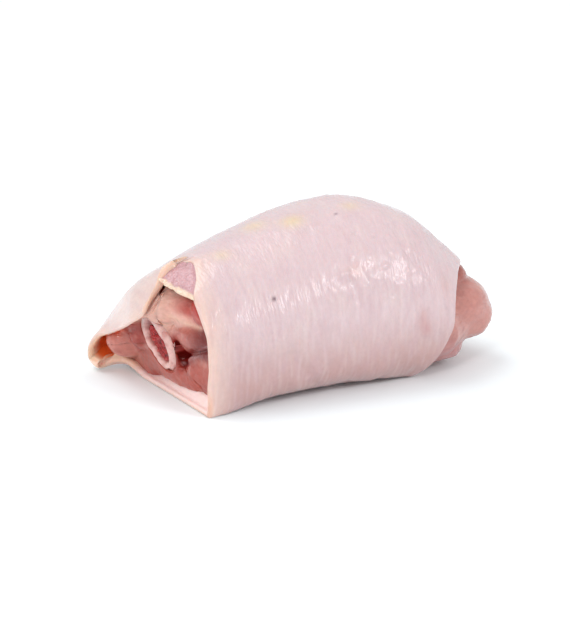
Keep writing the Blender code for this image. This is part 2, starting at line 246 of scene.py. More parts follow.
def noise(points, seed):
    """Smooth noise of about -1 to 1, with one cell to the unit."""
    points = np.asarray(points, float)
    cell = np.floor(points).astype(np.int64)
    inside = points - cell
    fade = inside**3 * (inside * (inside * 6 - 15) + 10)
    total = np.zeros(points.shape[:-1])
    for corner in np.ndindex(2, 2, 2):
        corner = np.array(corner)
        key = ((cell + corner) * HASH).sum(-1) + seed * 668265263 & MASK
        key = (key ^ key >> 15) * 2246822519 & MASK
        key = (key ^ key >> 13) * 3266489917 & MASK
        slope = np.stack([(key >> shift & 255) / 127.5 - 1 for shift in (0, 9, 18)], -1)
        weight = np.prod(np.where(corner, fade, 1 - fade), -1)
        total += weight * (slope * (inside - corner)).sum(-1)
    return total * 1.5


def layered(points, seed, layers, falloff=0.5):
    """Noise with finer and fainter noise added to it."""
    return sum(noise(np.asarray(points) * 2.0**k, seed + k) * falloff**k for k in range(layers))


def step(low, high, x):
    """0 below low, 1 above high, smooth between; also the other way round."""
    t = np.clip((np.asarray(x, float) - low) / (high - low), 0, 1)
    return t * t * (3 - 2 * t)


def bell(points, centre, width):
    """1 at a centre, falling off over a width that may differ by axis."""
    away = (np.asarray(points) - centre) / width
    return np.exp(-(away**2).sum(-1))


def near_line(points, path, width):
    """1 on a line through the path's points, falling off to its sides."""
    path = np.asarray(path, float)
    nearest = np.full(points.shape[:-1], np.inf)
    for a, b in zip(path[:-1], path[1:]):
        t = np.clip(((points - a) @ (b - a)) / ((b - a) @ (b - a)), 0, 1)
        nearest = np.minimum(nearest, np.linalg.norm(points - a - t[..., None] * (b - a), axis=-1))
    return np.exp(-((nearest / width) ** 2))


# Colours, as they look in strong light, in sRGB bytes; above 255 is brighter than the light's white

LIGHT_SHARE = 0.80


def linear(colour):
    """What a surface reflects where it looks this colour in strong light."""
    c = np.asarray(colour, float) / 255
    return LIGHT_SHARE * np.where(c <= 0.04045, c / 12.92, ((c + 0.055) / 1.055) ** 2.4)


class Paint:
    """A colour at each point, painted over in layers."""

    def __init__(self, shape, colour):
        self.colour = np.empty((*shape, 3))
        self.colour[:] = linear(colour)

    def over(self, colour, mask):
        self.colour += (linear(colour) - self.colour) * np.clip(mask, 0, 1)[..., None]


# Meshes

def grid_faces(rows, columns, closed_rows=False):
    """Quads over rows of points that close on themselves, and over the last row to the first."""
    r = np.arange(rows if closed_rows else rows - 1)[:, None]
    c = np.arange(columns)[None, :]
    after_r, after_c = (r + 1) % rows, (c + 1) % columns
    corners = (r * columns + c, after_r * columns + c, after_r * columns + after_c, r * columns + after_c)
    return np.stack(np.broadcast_arrays(*corners), -1).reshape(-1, 4)


def add_mesh(name, points, faces, tint=None):
    """A new object from points in the frame, with its colours as an attribute."""
    mesh = bpy.data.meshes.new(name)
    mesh.from_pydata(np.asarray(points).reshape(-1, 3).tolist(), [], [list(f) for f in faces])
    if tint is not None:
        tint_mesh(mesh, tint)
    mesh.shade_smooth()
    made = bpy.data.objects.new(name, mesh)
    bpy.context.scene.collection.objects.link(made)
    return made


def tint_mesh(mesh, tint):
    layer = mesh.color_attributes.new("tint", "FLOAT_COLOR", "POINT")
    four = np.concatenate([np.asarray(tint).reshape(-1, 3), np.ones((len(mesh.vertices), 1))], 1)
    layer.data.foreach_set("color", four.astype(np.float32).ravel())


def points_of(mesh):
    """Vertices in table millimetres, with their normals."""
    places = np.empty(len(mesh.vertices) * 3, np.float32)
    normals = places.copy()
    mesh.vertices.foreach_get("co", places)
    mesh.vertex_normals.foreach_get("vector", normals)
    places = places.reshape(-1, 3).astype(float) / MM + (*MIDDLE, 0)
    return places, normals.reshape(-1, 3).astype(float)


def move_points(mesh, places):
    mesh.vertices.foreach_set("co", in_frame(places).astype(np.float32).ravel())
    mesh.update()


# Skin

def line_shares(step_round, step_under):
    """Shares of the section that lie in even steps round its middle."""
    fine = np.linspace(0, 1, 20001)
    y, z = section(np.full(fine.shape, 45.0), fine)
    far = np.concatenate([[0], np.cumsum(np.hypot(np.diff(y), np.diff(z)))])
    under = (fine > UNDER_SHARES[0]) & (fine < UNDER_SHARES[1])
    count = np.concatenate([[0], np.cumsum(np.diff(far) / np.where(under[1:], step_under, step_round))])
    lines = int(count[-1])
    return np.interp(np.arange(lines) * count[-1] / lines, count, fine)


def speed_at(end, share):
    """Millimetres of surface to a whole unit of s at one end of each line."""
    inward = end + SPEED_STEP if end < 0.5 else end - SPEED_STEP
    apart = skin_surface(np.full(share.shape, inward), share) - skin_surface(np.full(share.shape, end), share)
    return np.linalg.norm(apart, axis=-1) / SPEED_STEP


def wrinkles(p):
    """Height of the skin's relief: crepe-like creases round the leg, dents, lumps and folds."""
    x, y, z = p[..., 0], p[..., 1], p[..., 2]
    lean = step(10, 70, x) * 0.75 - 0.35
    wander = layered(p / 11, 3, 2) * 2.2
    across = x + lean * (z - 24) * 0.8 + wander
    crease = np.stack([across / 1.9, y / 8.0, z / 8.0], -1)
    fine = np.stack([across / 0.95, y / 3.6, z / 3.6], -1)
    strength = 0.75 + 0.45 * layered(p / 13, 11, 2)
    height = 0.15 * strength * noise(crease, 5) + 0.09 * strength * noise(fine, 6)
    # Lumps and dents, more of them towards the knee
    height += (0.14 + 0.20 * step(30, 60, x)) * layered(p / (6.0, 9.0, 9.0), 21, 2)
    lumpy = bell(p, (54, 0, 34), (15, 14, 9))
    height += 0.42 * lumpy * step(0.1, 0.7, noise(p / (2.3, 2.6, 3.2), 25))
    for path, width, size in FOLDS:
        height += size * near_line(p, path, width)
    for centre, width, size in LUMPS:
        height += size * bell(p, centre, width)
    return height


LUMPS = (
    ((42.3, 1.2, 34.9), 1.5, 0.45), ((46.7, -0.5, 31.9), 1.6, 0.45), ((58.3, -1.5, 30.6), 1.7, 0.5),
    ((64.0, 0.3, 33.8), 1.5, 0.4), ((63.7, 4.0, 39.3), 1.4, 0.4), ((51.5, -1.0, 33.0), 1.5, 0.4),
    ((44.0, 0.6, 33.0), 0.8, -0.4), ((49.2, 8.6, 44.3), 0.6, -0.3), ((54.5, 6.5, 43.0), 0.6, -0.3),
)
FOLDS = (
    (((26.6, -2.4, 18.0), (30.5, -2.3, 12.5), (33.6, -2.1, 8.9)), 1.5, 0.45),
    (((35.8, -2.6, 13.7), (32.5, -2.4, 10.0), (30.1, -1.7, 7.6)), 1.3, 0.35),
    (((23.6, -2.4, 15.5), (29.0, -2.0, 9.0), (33.8, 0.5, 4.2)), 1.6, -0.40),
    (((15.5, -1.8, 19.4), (21.0, -2.2, 12.0), (27.5, -0.5, 4.5)), 1.8, 0.35),
    (((9.1, -1.3, 17.4), (12.5, -1.5, 10.0), (16.5, 0.5, 3.2)), 1.7, 0.30),
)


def skin_tint(p, rim_far, inside):
    """Colour of the skin at each point, this far from the open end's rim."""
    x, y, z = p[..., 0], p[..., 1], p[..., 2]
    paint = Paint(p.shape[:-1], (230, 203, 206))
    paint.over((224, 194, 198), 0.6 * step(-0.1, 0.8, layered(p / 8, 31, 3)))
    paint.over((235, 212, 208), 0.4 * step(0.0, 0.8, layered(p / 9, 41, 2)))
    # Darker and pinker towards the floor at the front: partly painted shade, partly the skin's pinker tone
    # there
    paint.over((203, 160, 155), 0.9 * step(26, 6, z) * step(30, 5, y))
    paint.over((214, 176, 182), 0.3 * step(0.15, 0.6, noise(p / (2.2, 5, 5), 45)) * step(34, 14, z))
    paint.over((243, 212, 198), 0.6 * step(9, -6, x) * step(10, 22, z))
    paint.over((244, 212, 202), 0.6 * step(10, 2, rim_far))
    paint.over((248, 211, 197), 0.85 * step(3.6, 0.8, rim_far))
    paint.over((250, 190, 160), 0.7 * step(2.0, 0.4, rim_far) * step(9, 3, z) * step(12, 4, y))
    # Painted light: the rolled lower lip at the flap's tip lies in shade and is painted brighter, over its
    # own warmer cream
    paint.over((255, 228, 204), 0.8 * step(-6, -10, x) * step(9, 4, z) * step(5, 2, rim_far))
    # Painted shade of fine wrinkles: darker streaks round the leg stand in for the shading of relief
    paint.over((212, 176, 182), 0.3 * step(-0.2, 0.7, noise(p / (1.0, 6.5, 6.5), 47)) * step(44, 30, z))
    # Painted highlight: lighter streaks stand in for glints on the fine wrinkles
    paint.over((250, 230, 232), 0.16 * step(-0.1, 0.7, noise(p / (0.9, 6.0, 6.0), 49)))
    for centre, width, colour, weight in SPOTS:
        paint.over(colour, weight * bell(p, centre, width))
    paint.over((252, 204, 172), inside)
    # Painted orange in the pocket inside the open end: partly the fat's own colour, partly painted shade with
    # orange bounce light
    pocket = step(1.0, 3.5, rim_far) * step(40, 20, x)
    paint.over((250, 110, 44), inside * pocket * step(2.5, 4.0, z) * step(37, 34, z))
    # Painted light: the pad of fat along the floor inside lies in shade under the meat and is painted
    # brighter than white
    paint.over((275, 240, 234), inside * step(7.5, 5.0, z) * step(46, 38, y))
    # Painted light: the inner side of the rolled lip at the back of the floor is painted brighter than white
    # against its shade
    paint.over((280, 236, 212), inside * step(3.6, 2.4, z) * step(38, 46, y))
    return paint.colour


SPOTS = (
    ((34.9, 19.4, 46.8), 3.2, (240, 214, 172), 0.8),
    ((25.7, 24.9, 45.1), 3.4, (240, 215, 180), 0.7),
    ((52.8, 19.1, 49.2), 2.6, (238, 212, 180), 0.6),
    ((12.1, 16.8, 40.4), 2.6, (240, 214, 182), 0.6),
    ((20.8, 1.7, 30.8), 0.62, (96, 58, 74), 0.95),
    ((47.4, 16.7, 48.0), 0.5, (130, 96, 112), 0.8),
    ((64.8, -3.5, 20.0), (1.6, 3.0, 3.4), (205, 148, 146), 0.5),
    ((66.1, -3.6, 16.9), (1.4, 3.0, 2.2), (205, 148, 146), 0.5),
    ((45.5, 1.5, 35.8), 2.2, (222, 184, 178), 0.6),
    ((73.5, -0.5, 28.3), (2.0, 3.0, 4.0), (220, 180, 178), 0.5),
)


def add_skin():
    """The skin as a closed sheet: outer side, knee rim, inner side, mouth rim."""
    share = line_shares(AROUND_STEP, UNDER_STEP)
    plain = np.zeros(share.shape)
    speed = [speed_at(end, share) for end in (0.0, 1.0)]
    half = around(share, *np.array(RIM_HALF).T)
    pad = step(*PAD_SHARES[:2], share) * step(*PAD_SHARES[:1:-1], share)
    turns = np.linspace(pi / 2, -pi / 2, 2 * ROLL_STEPS + 1)
    rows = []
    outer = np.linspace(0, 1, int(SKIN_LENGTH / ALONG_STEP))
    first, last = half / speed[0], 1 - half / speed[1]
    for t in outer:
        rows.append((first + (last - first) * t, plain, plain + 1))
    for turn in turns[1:-1]:
        s = 1 - half * (1 - np.cos(turn)) / speed[1]
        rows.append((s, half * (1 - np.sin(turn)), plain + max(np.sin(turn), 0)))
    near = INSIDE_NEAR / SKIN_LENGTH
    deep_inside = np.linspace(1, near, INSIDE_STEPS[1], endpoint=False)
    for t in np.concatenate([deep_inside, np.linspace(near, 0, INSIDE_STEPS[0])]):
        from_rim = min(t, 1 - t) * SKIN_LENGTH
        thick = SKIN_THICK + (2 * half - SKIN_THICK) * np.exp(-((from_rim / RIM_FADE) ** 2))
        in_pad = np.clip((t * speed[0] - PAD_REACH[0]) / (PAD_REACH[1] - PAD_REACH[0]), 0, 1)
        thick += PAD_HEIGHT * pad * np.sin(pi * in_pad) ** 0.7
        rows.append((first + (last - first) * t, thick, plain))
    for turn in turns[::-1][1:-1]:
        s = half * (1 - np.cos(turn)) / speed[0]
        rows.append((s, half * (1 - np.sin(turn)), plain + max(np.sin(turn), 0)))
    s, depth, relief = (np.stack(column) for column in zip(*rows))
    shares = np.broadcast_to(share, s.shape)
    outside = skin_surface(s, shares)
    normal = skin_normal(s, shares)
    rim_far = s * speed[0]
    height = wrinkles(outside) * relief * step(0.0, 2.5, rim_far)
    p = outside + normal * (height - depth)[..., None]
    p[..., 2] = np.maximum(p[..., 2], 0)
    inside = step(0.3, 1.6, depth) * (relief < 0.5)
    tint = skin_tint(p, rim_far, inside)
    return add_mesh("thigh_skin", in_frame(p), grid_faces(*s.shape, closed_rows=True), tint)


# Meat

Muscle = namedtuple("Muscle", "middle half turn colour")
# Muscles that show at the open end, then those that show at the knee
MOUTH_MUSCLES = (
    Muscle((5.0, 21.5, 26.0), (8.0, 13.0, 6.4), (0, 0, 20), (252, 192, 176)),
    Muscle((-0.6, 27.0, 26.4), (8.0, 8.0, 7.0), (0, 0, 0), (252, 198, 180)),
    Muscle((9.0, 9.5, 28.0), (9.0, 6.5, 6.5), (0, 0, 0), (198, 66, 54)),
    Muscle((7.5, 13.5, 18.6), (8.2, 11.0, 5.6), (0, 0, 15), (200, 110, 98)),
    Muscle((7.6, 19.4, 7.4), (9.2, 23.0, 8.0), (0, 0, 13), (190, 88, 73)),
    Muscle((0.0, 36.2, 14.2), (8.2, 5.2, 5.6), (0, 0, 0), (176, 70, 58)),
    Muscle((-4.6, 44.5, 10.4), (7.5, 5.4, 5.6), (0, 0, 0), (216, 134, 120)),
)
KNEE_MUSCLES = (
    Muscle((84.0, 15.0, 17.0), (13.3, 11.6, 9.6), (0, 10, 18), (208, 142, 132)),
    Muscle((76.0, 12.8, 6.3), (11.4, 9.3, 6.3), (0, 0, 12), (198, 136, 134)),
    Muscle((82.5, 14.0, 25.2), (6.5, 6.0, 5.5), (0, 0, 0), (176, 98, 88)),
    Muscle((88.8, 13.5, 13.2), (8.6, 8.5, 6.8), (0, 0, 0), (208, 142, 132)),
    Muscle((80.0, 29.0, 10.5), (9.0, 9.0, 9.5), (0, 0, 0), (196, 130, 122)),
    Muscle((84.0, 24.0, 20.0), (8.0, 8.5, 7.5), (0, 0, 0), (192, 122, 112)),
)
MOUTH_WAY = np.array((-0.75, -0.62, 0.2)) / np.linalg.norm((-0.75, -0.62, 0.2))
KNEE_WAY = np.array((1.0, 0.0, 0.0))
# How far inside its rim the meat meets the skin, by share
MOUTH_CONTACT = (
    (0.0, 2.5), (0.12, 2.5), (0.17, 5.0), (0.213, 9.0), (0.24, 8.5), (0.265, 6.0), (0.30, 2.0), (0.37, 1.6),
    (0.43, 2.6), (0.47, 4.5), (0.50, 7.0), (0.53, 8.0), (0.56, 6.5), (0.60, 2.4), (0.68, 1.4),
    (0.72, 4.0), (0.755, 6.4), (0.79, 7.4), (0.82, 7.0), (0.87, 4.4), (0.93, 2.4),
)
KNEE_CONTACT = 2.5
# The knee's face is drawn together here
KNEE_MIDDLE = np.array((78.0, 15.0, 14.0))
CLOSE_GAP = 0.15
MUSCLE_MELT = 1.15
# The bone stands out of the meat by this much
BONE_PROUD = 0.7
FACE_RINGS, BODY_RINGS, END_RINGS, TUNNEL_RINGS = 64, 30, 46, 12
MEAT_STEP = 0.62
# A deep gap opens beside the bone's tip and runs on as a crease between two muscles
GAP_PATH, GAP_WIDTH, GAP_DEPTH = ((0.0, 21.0, 14.6), (0.2, 18.8, 12.9), (0.4, 16.6, 12.0)), 2.0, 7.5
CREASE_PATH, CREASE_WIDTH, CREASE_DEPTH = ((0.3, 17.0, 12.4), (1.2, 10.0, 15.6), (2.0, 3.0, 18.6)), 0.9, 2.2
# Shares where the corner between meat and skin is painted orange: the fat's own colour, pushed bright so the
# shaded corner shows as orange bounce light
FAT_AND_BOUNCE_CORNERS = ((0.225, 0.278), (0.43, 0.575))
# A pale line of membrane runs over the upper muscles; its paleness is partly the membrane's own colour,
# partly a painted wet highlight
PALE_LINE = ((-4.1, 23.1, 23.8), (-2.2, 19.0, 24.1), (-0.3, 15.8, 23.1), (1.5, 8.0, 23.3))
# A wet strip of membrane stands up in the crease to the right of it
STRIP = ((1.0, 18.4, 10.2), (1.1, 12.4, 13.7), (1.3, 8.6, 16.0), (2.0, 4.5, 18.2))
STRIP_WIDTH, STRIP_HEIGHT = 0.75, 1.1


def bulge(points, way, muscles):
    """How far along the way each point moves to lie on the foremost muscle, melted at the creases."""
    total = np.ones(points.shape[:-1])
    for muscle in muscles:
        turn = np.array(Euler([radians(a) for a in muscle.turn]).to_matrix())
        away = ((points - muscle.middle) @ turn) / muscle.half
        run = (way @ turn) / muscle.half
        ahead, square = away @ run, run @ run
        under = ahead**2 - square * ((away**2).sum(-1) - 1)
        reach = (np.sign(under) * np.sqrt(np.abs(under)) - ahead) / square
        total += np.exp(MUSCLE_MELT * np.clip(reach, -20, 20))
    return np.log(total) / MUSCLE_MELT


def bone_angle(points):
    """Where round the bone's outline these points lie, seen from its middle."""
    away = points - BONE_FACE
    return np.arctan2(away @ FACE_WIDE / (FACE_WIDE @ FACE_WIDE), away @ FACE_LONG / (FACE_LONG @ FACE_LONG))


def add_meat():
    """The meat: a tunnel for the bone, the face at the open end, the body, the face at the knee."""
    share = line_shares(MEAT_STEP, MEAT_STEP)
    plain = np.zeros(share.shape)
    rim_speed = speed_at(0.0, share)
    contact = around(share, *np.array(MOUTH_CONTACT).T) / rim_speed
    knee_contact = 1 - KNEE_CONTACT / speed_at(1.0, share)
    deep = SKIN_THICK + CLOSE_GAP

    def inner(s):
        return skin_surface(s, share) - skin_normal(s, share) * deep

    rim, knee_rim = inner(contact), inner(knee_contact)
    angle = bone_angle(rim)
    tunnel = [bone_ring(t, -GAP, angle) for t in np.linspace(BONE_LENGTH + GAP, BONE_PROUD, TUNNEL_RINGS)]
    start = tunnel[-1]
    # The muscles sink towards the rim, over a longer way below the notch
    full = 0.86 - 0.22 * step(0.20, 0.24, share) * step(0.38, 0.30, share)
    face = []
    for r in np.linspace(0, 1, FACE_RINGS + 2)[1:-1]:
        ring = start + (rim - start) * r
        height = bulge(ring, MOUTH_WAY, MOUTH_MUSCLES)
        height = height * step(-0.05, 0.14, r) * step(1.0, full, r)
        height -= GAP_DEPTH * near_line(ring, GAP_PATH, GAP_WIDTH) * step(0.0, 0.08, r)
        height -= CREASE_DEPTH * near_line(ring, CREASE_PATH, CREASE_WIDTH)
        height += STRIP_HEIGHT * near_line(ring + MOUTH_WAY * height[:, None], STRIP, STRIP_WIDTH)
        face.append(ring + MOUTH_WAY * height[:, None])
    body = [inner(contact + (knee_contact - contact) * t) for t in np.linspace(0, 1, BODY_RINGS)]
    end = []
    for r in np.linspace(1, 0, END_RINGS + 1)[1:-1]:
        ring = KNEE_MIDDLE + (knee_rim - KNEE_MIDDLE) * r
        height = bulge(ring, KNEE_WAY, KNEE_MUSCLES) * step(1.0, 0.9, r)
        end.append(ring + KNEE_WAY * height[:, None])
    points, faces = closed_loft([*tunnel, *face, *body, *end])
    made = add_mesh("thigh_meat", in_frame(points), faces)
    p, normal = points_of(made.data)
    grain = np.stack([p[:, 0] / 5, p[:, 1] / 1.1, p[:, 2] / 1.1], -1)
    height = 0.10 * layered(grain, 51, 2) + 0.22 * layered(p / 4.5, 55, 2)
    p = p + normal * height[:, None]
    p[:, 2] = np.maximum(p[:, 2], SKIN_THICK)
    move_points(made.data, p)
    corners = [rim[(share > low) & (share < high)][::4] for low, high in FAT_AND_BOUNCE_CORNERS]
    tint_mesh(made.data, meat_tint(p, corners))
    return made


def meat_tint(p, corners):
    """Each point takes the colour of the muscle it lies in, with paler and darker places over it."""
    weights = []
    for muscle in (*MOUTH_MUSCLES, *KNEE_MUSCLES):
        turn = np.array(Euler([radians(a) for a in muscle.turn]).to_matrix())
        away = ((p - muscle.middle) @ turn) / muscle.half
        weights.append(np.exp(-9 * (np.linalg.norm(away, axis=-1) - 1)))
    weights = np.stack(weights, -1)
    weights /= weights.sum(-1, keepdims=True)
    colour = weights @ np.array([linear(muscle.colour) for muscle in (*MOUTH_MUSCLES, *KNEE_MUSCLES)])
    paint = Paint(p.shape[:-1], (0, 0, 0))
    paint.colour = colour
    paint.over((148, 46, 38), 0.35 * step(0.1, 0.9, layered(p / 5, 61, 3)))
    paint.over((196, 62, 52), 0.85 * step(21, 13, p[:, 1]) * step(24.2, 26.5, p[:, 2]) * step(12, 8, p[:, 0]))
    paint.over((244, 188, 168), 0.22 * step(0.2, 1.0, layered(p / 3.5, 65, 2)))
    redder = step(15, 6, p[:, 1]) * step(24.5, 22.5, p[:, 2]) * step(13, 16, p[:, 2])
    paint.over((118, 24, 18), 0.9 * redder * step(6.0, 3.0, p[:, 0]))
    # Painted shade: the crease between the muscles is painted dark red
    paint.over((120, 10, 10), 0.8 * near_line(p, CREASE_PATH, 1.1))
    # Painted shade deep in the gap beside the bone's tip, at three depths along the way into it
    for deep in (0.0, 3.0, 6.0):
        paint.over((168, 12, 12), near_line(p + MOUTH_WAY * deep, GAP_PATH, 2.6))
    # Painted shade in the crease on both sides of the wet strip
    paint.over((126, 26, 22), 0.8 * near_line(p, STRIP, 2.0))
    # The wet strip is painted whitish: partly the membrane's own colour, partly a painted wet highlight
    paint.over((250, 205, 205), 0.9 * near_line(p, STRIP, 0.62))
    # Pale line of membrane: its own paler colour with a painted wet highlight
    paint.over((248, 196, 172), 0.8 * near_line(p, PALE_LINE, 0.7))
    # Painted shade with orange bounce light in the corners, over the fat's own orange, brighter than white to
    # carry through the shade
    for corner in corners:
        paint.over((280, 100, 44), 0.95 * near_line(p, corner, 2.0))
    return paint.colour


# Bone and marrow

BONE_FACE = np.array((-3.97, 26.4, 14.3))
BONE_RUN = np.array((0.99, -0.05, 0.08)) / np.linalg.norm((0.99, -0.05, 0.08))
BONE_LENGTH = 70.0
FACE_LONG = np.array((0.24, -0.61, -0.76)) * 8.6
FACE_WIDE = np.array((0.27, -0.71, 0.65)) * 4.6
SHAFT_LONG = np.array((0.08, -0.30, -0.95)) * 4.6
SHAFT_WIDE = np.array((0.05, -0.95, 0.30)) * 4.4
NARROWS_OVER = 16.0
BONE_WALL = 2.5
# The marrow starts this far behind the cut face
MARROW_BACK = 0.9
MARROW_LENGTH = 24.0
# The hollow lies a little off the bone's middle
HOLLOW_SHIFT = FACE_WIDE / np.linalg.norm(FACE_WIDE) * -0.4
BONE_SIDES = 120


def bone_ring(t, inset, angles=None):
    """A section of the bone t along its run, this much smaller all round."""
    share = float(ease(max(t, 0) / NARROWS_OVER))
    if angles is None:
        angles = np.arange(BONE_SIDES) * 2 * pi / BONE_SIDES
    ring = BONE_FACE + BONE_RUN * t
    for (face, shaft), swing in zip(
        ((FACE_LONG, SHAFT_LONG), (FACE_WIDE, SHAFT_WIDE)), (np.cos(angles), np.sin(angles))
    ):
        side = shaft + (face - shaft) * share
        ring = ring + np.outer(swing, side * (1 - inset / np.linalg.norm(side)))
    return ring


def closed_loft(rings):
    """Points and faces over rings, each end drawn together in a fan."""
    count = len(rings[0])
    points = np.concatenate([*rings, [rings[0].mean(0)], [rings[-1].mean(0)]])
    faces = grid_faces(len(rings), count).tolist()
    first, last, top = len(points) - 2, len(points) - 1, (len(rings) - 1) * count
    for i in range(count):
        j = (i + 1) % count
        faces.append((first, i, j))
        faces.append((last, top + j, top + i))
    return points, faces


def add_bone():
    """The bone: its outer side, the rounded edge of its cut face, and the wall of its hollow."""
    rounded = BONE_WALL / 2
    path = [(t, 0.0) for t in np.linspace(BONE_LENGTH, rounded, 60)]
    for turn in np.linspace(pi / 2, -pi / 2, 11)[1:-1]:
        path.append((rounded * (1 - np.cos(turn)), rounded * (1 - np.sin(turn))))
    path += [(t, BONE_WALL) for t in np.linspace(rounded, MARROW_LENGTH + GAP, 40)]
    rings = [bone_ring(t, inset) + HOLLOW_SHIFT * (inset / BONE_WALL) for t, inset in path]
    points, faces = closed_loft(rings)
    faces = [face[::-1] for face in faces]
    rough = 0.7 * noise(points / 3.2, 75) + 0.5 * layered(points / 1.8, 71, 2)
    rough += 1.5 * bell(points, (-6.2, 30.6, 19.6), 3.0) + 0.8 * bell(points, (-1.4, 22.2, 16.4), 2.0)
    middle = BONE_FACE + np.outer((points - BONE_FACE) @ BONE_RUN, BONE_RUN)
    out = (points - middle) / np.maximum(np.linalg.norm(points - middle, axis=-1, keepdims=True), 1)
    points = points + out * rough[:, None] * step(6, 1, (points - BONE_FACE) @ BONE_RUN)[:, None]
    paint = Paint(points.shape[:-1], (255, 206, 198))
    paint.over((218, 136, 128), 0.7 * step(0.0, 0.8, layered(points / 2.4, 73, 2)))
    paint.over((255, 232, 228), 0.9 * bell(points, (-5.8, 30.6, 19.8), (3.8, 3.8, 3.2)))
    wall = np.repeat([step(0.75, 1.0, inset / BONE_WALL) for _, inset in path], BONE_SIDES)
    paint.over((200, 84, 76), 0.6 * np.append(wall, [0, 0]))
    return add_mesh("thigh_bone", in_frame(points), faces, paint.colour)


def add_marrow():
    """Spongy red marrow, a little back from the cut face."""
    inset = BONE_WALL + GAP
    rings = []
    for share in np.linspace(0.02, 1, 34):
        ring = bone_ring(MARROW_BACK, inset)
        middle = BONE_FACE + BONE_RUN * MARROW_BACK + HOLLOW_SHIFT
        rings.append(middle + (ring - ring.mean(0)) * share)
    rings += [bone_ring(t, inset) + HOLLOW_SHIFT for t in np.linspace(1.6, MARROW_LENGTH, 30)]
    points, faces = closed_loft(rings)
    front = step(2.5, 1.2, (points - BONE_FACE) @ BONE_RUN)
    sponge = layered(points / 1.15, 81, 2)
    points = points - BONE_RUN * (0.55 * sponge * front)[:, None]
    paint = Paint(points.shape[:-1], (186, 34, 34))
    paint.over((112, 10, 14), step(0.05, 0.6, -sponge))
    paint.over((230, 110, 102), 0.8 * step(0.25, 0.9, sponge))
    return add_mesh("thigh_marrow", in_frame(points), faces, paint.colour)


# Membrane

NOTCH_TIP = 0.222
MEMBRANE_LEFT = 0.270
MEMBRANE_RIGHT = 0.164
# The film starts just below the notch's tip, where its two sides are apart
MEMBRANE_START = 0.05
MEMBRANE_SAG = 0.4
MEMBRANE_DEPTH = 0.25
# Below 0, so its sides run on under the skin's rim
MEMBRANE_EDGE = -0.6
MEMBRANE_HALF = 0.38
BEAD_HALF = 1.15


def add_membrane():
    """A wet film across the notch, with a bead of fat along its free edge."""
    rows, lines = 46, 44
    t = np.linspace(MEMBRANE_START, 1, rows)[:, None]
    across = np.linspace(0, 1, lines)[None, :]
    left = np.stack(MOUTH.at(NOTCH_TIP + (MEMBRANE_LEFT - NOTCH_TIP) * t[:, 0]), -1)[:, None]
    right = np.stack(MOUTH.at(NOTCH_TIP + (MEMBRANE_RIGHT - NOTCH_TIP) * t[:, 0]), -1)[:, None]
    inward = (right - left) * MEMBRANE_EDGE / np.linalg.norm(right - left, axis=-1, keepdims=True)
    inward *= step(0.0, 0.5, t)[..., None]
    middle = left + inward + (right - left - 2 * inward) * across[..., None]
    middle[..., 2] -= MEMBRANE_DEPTH + MEMBRANE_SAG * t**2 * 4 * across * (1 - across)
    middle[..., 2] += 0.5 * layered(middle / 3, 91, 2) * (4 * across * (1 - across))
    normal = np.cross(np.gradient(middle, axis=0), np.gradient(middle, axis=1))
    normal /= np.linalg.norm(normal, axis=-1, keepdims=True)
    normal *= np.sign(normal[..., 2:])
    bead = np.exp(-(((1 - t) / 0.13) ** 2)) * (1 + 0.7 * noise(middle / 1.6, 95))
    half = MEMBRANE_HALF + BEAD_HALF * bead
    # Both sides meet at the edges of the film
    fade = np.minimum(1, np.minimum(4 * (1 - np.abs(2 * across - 1)) + 0.15, 60 * (1 - t) + 0.3))
    above, below = middle + normal * (half * fade)[..., None], middle - normal * (half * fade)[..., None]
    points = np.concatenate([above.reshape(-1, 3), below.reshape(-1, 3)])
    quads = []
    count = rows * lines
    for k in range(rows - 1):
        for i in range(lines - 1):
            a = k * lines + i
            quads.append((a, a + 1, a + lines + 1, a + lines))
            quads.append((count + a, count + a + lines, count + a + lines + 1, count + a + 1))
    edge = (
        list(range(lines))
        + [k * lines + lines - 1 for k in range(1, rows)]
        + [(rows - 1) * lines + i for i in range(lines - 2, -1, -1)]
        + [k * lines for k in range(rows - 2, 0, -1)]
    )
    for a, b in zip(edge, edge[1:] + edge[:1]):
        quads.append((b, a, count + a, count + b))
    paint = Paint((rows, lines), (212, 158, 164))
    paint.over((255, 226, 200), np.broadcast_to(0.95 * step(0.15, 0.6, bead), (rows, lines)))
    tint = np.concatenate([paint.colour.reshape(-1, 3)] * 2)
    return add_mesh("notch_membrane", in_frame(points), quads, tint)


# Materials

